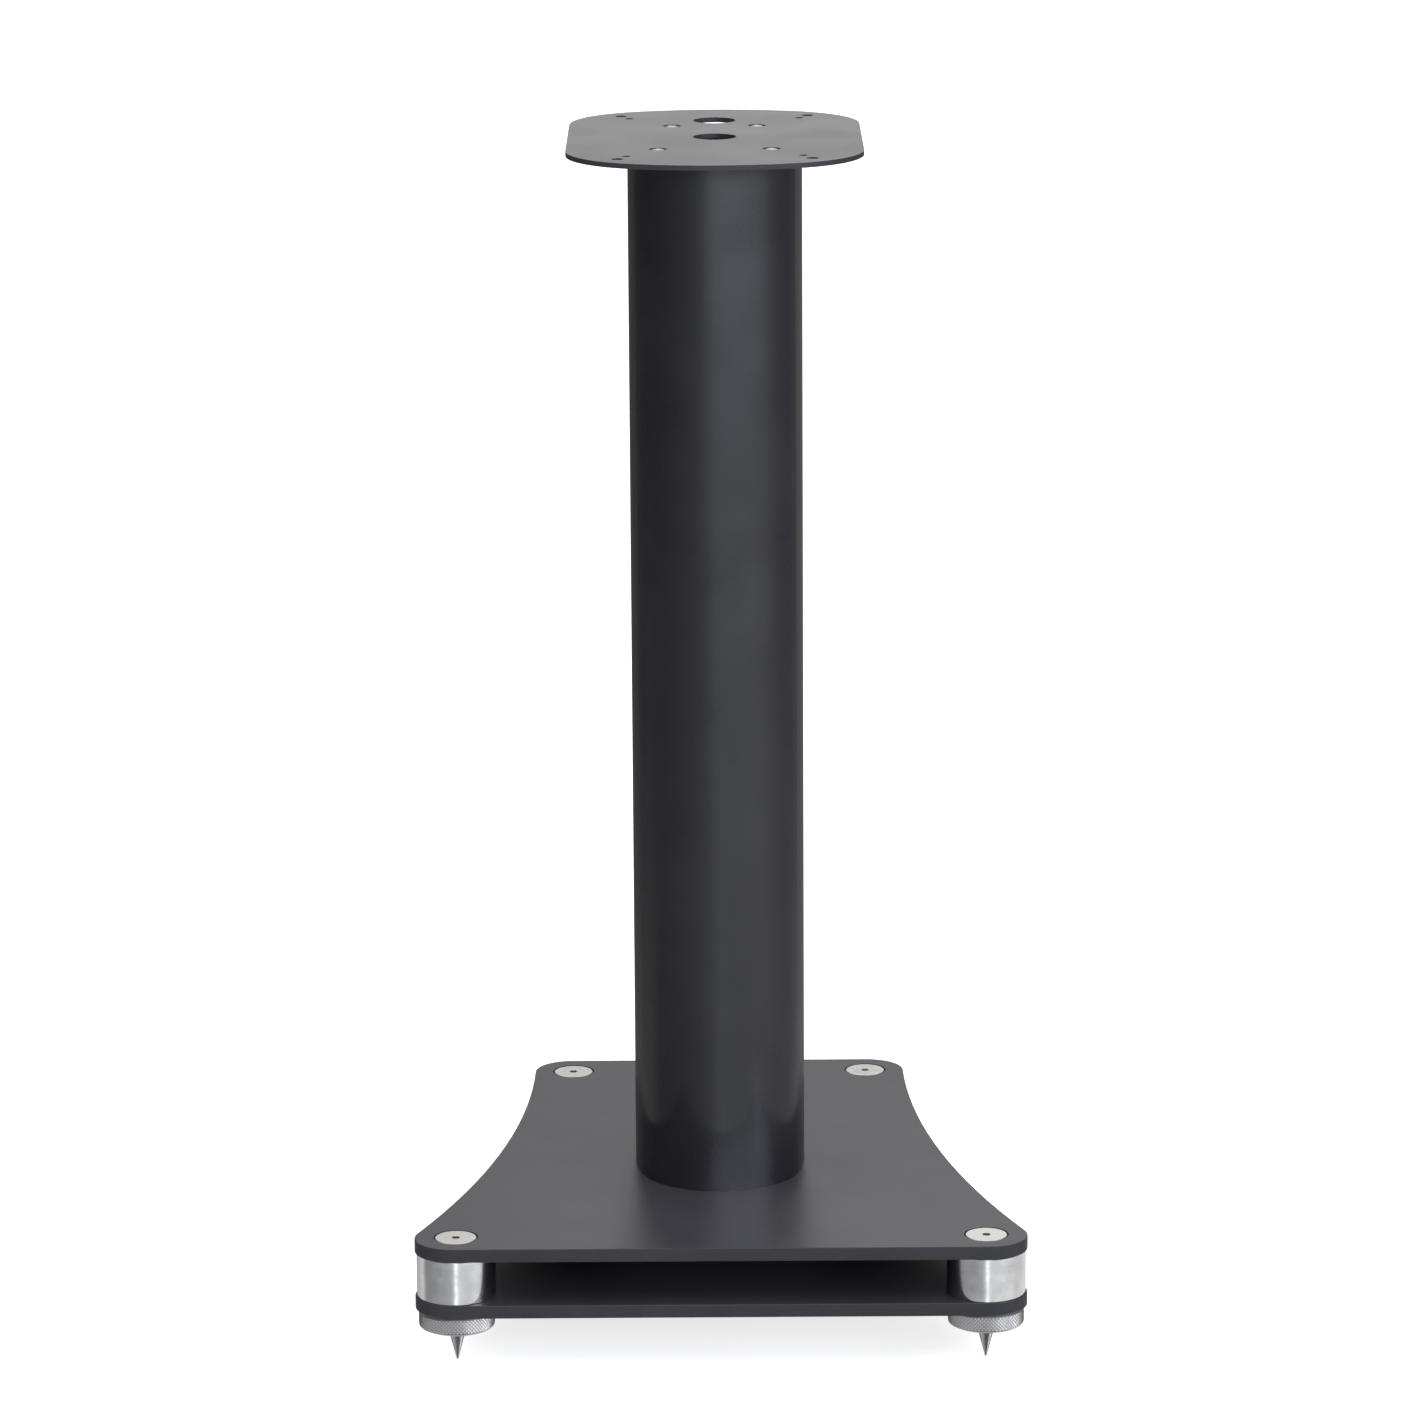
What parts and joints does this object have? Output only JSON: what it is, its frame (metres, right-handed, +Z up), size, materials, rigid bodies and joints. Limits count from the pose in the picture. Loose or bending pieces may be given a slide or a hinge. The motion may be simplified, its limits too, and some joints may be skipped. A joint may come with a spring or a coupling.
{
  "type": "speaker stand",
  "caption": "Floor stand for a loudspeaker: egg-section column, thin drilled top plate, two-storey waisted base on levelling spikes with knurled thumb wheels.",
  "frame": {"origin": "on the floor at the level of the spike tips, under the middle of the base", "axes": "+Z up along the column, +X to the right seen from the front, the front facing -Y"},
  "size_m": [0.3128, 0.3294, 0.6104],
  "materials": {
    "plate_paint": "near-black satin powder coat",
    "column_paint": "blue-black satin paint on extruded aluminium",
    "screw_steel": "zinc plated",
    "bolt_nickel": "turned and nickel plated",
    "polished_aluminium": "turned and polished",
    "knurled_aluminium": "diamond knurled rim, plain faces",
    "spike_steel": "turned steel",
    "bush_brass": "turned"
  },
  "bodies": {
    "stand": {"top_plate": "plate_paint", "top_plate_screws": "screw_steel", "column": "column_paint", "column_base_screws": "screw_steel", "upper_base_plate": "plate_paint", "lower_base_plate": "plate_paint", "spacer_front_left": "polished_aluminium", "spacer_front_right": "polished_aluminium", "spacer_rear_left": "polished_aluminium", "spacer_rear_right": "polished_aluminium", "foot_bolt_front_left": "bolt_nickel", "foot_bolt_front_right": "bolt_nickel", "foot_bolt_rear_left": "bolt_nickel", "foot_bolt_rear_right": "bolt_nickel", "foot_bush_front_left": "bush_brass", "foot_bush_front_right": "bush_brass", "foot_bush_rear_left": "bush_brass", "foot_bush_rear_right": "bush_brass"},
    "spike_front_left": {"spike_front_left": "spike_steel"},
    "spike_front_right": {"spike_front_right": "spike_steel"},
    "spike_rear_left": {"spike_rear_left": "spike_steel"},
    "spike_rear_right": {"spike_rear_right": "spike_steel"},
    "wheel_front_left": {"thumb_wheel_front_left": "knurled_aluminium"},
    "wheel_front_right": {"thumb_wheel_front_right": "knurled_aluminium"},
    "wheel_rear_left": {"thumb_wheel_rear_left": "knurled_aluminium"},
    "wheel_rear_right": {"thumb_wheel_rear_right": "knurled_aluminium"}
  },
  "joints": [
    {"name": "spike_front_left_travel", "type": "slide", "parent": "stand", "child": "spike_front_left", "axis": [0, 0, -1], "range_m": [0, 0.0075]},
    {"name": "spike_front_right_travel", "type": "slide", "parent": "stand", "child": "spike_front_right", "axis": [0, 0, -1], "range_m": [0, 0.0075]},
    {"name": "spike_rear_left_travel", "type": "slide", "parent": "stand", "child": "spike_rear_left", "axis": [0, 0, -1], "range_m": [0, 0.0075]},
    {"name": "spike_rear_right_travel", "type": "slide", "parent": "stand", "child": "spike_rear_right", "axis": [0, 0, -1], "range_m": [0, 0.0075]},
    {"name": "wheel_front_left_turn", "type": "hinge", "parent": "spike_front_left", "child": "wheel_front_left", "pos_m": [-0.1353, -0.14445, 0.0233], "axis": [0, 0, -1], "range_deg": [0, 2160]},
    {"name": "wheel_front_right_turn", "type": "hinge", "parent": "spike_front_right", "child": "wheel_front_right", "pos_m": [0.1353, -0.14445, 0.0233], "axis": [0, 0, -1], "range_deg": [0, 2160]},
    {"name": "wheel_rear_left_turn", "type": "hinge", "parent": "spike_rear_left", "child": "wheel_rear_left", "pos_m": [-0.0811, 0.14445, 0.0233], "axis": [0, 0, -1], "range_deg": [0, 2160]},
    {"name": "wheel_rear_right_turn", "type": "hinge", "parent": "spike_rear_right", "child": "wheel_rear_right", "pos_m": [0.0811, 0.14445, 0.0233], "axis": [0, 0, -1], "range_deg": [0, 2160]}
  ],
  "couplings": [
    {"joint": "wheel_front_left_turn", "follows": "spike_front_left_travel", "rad_per_m": 5026.5},
    {"joint": "wheel_front_right_turn", "follows": "spike_front_right_travel", "rad_per_m": 5026.5},
    {"joint": "wheel_rear_left_turn", "follows": "spike_rear_left_travel", "rad_per_m": 5026.5},
    {"joint": "wheel_rear_right_turn", "follows": "spike_rear_right_travel", "rad_per_m": 5026.5}
  ]
}
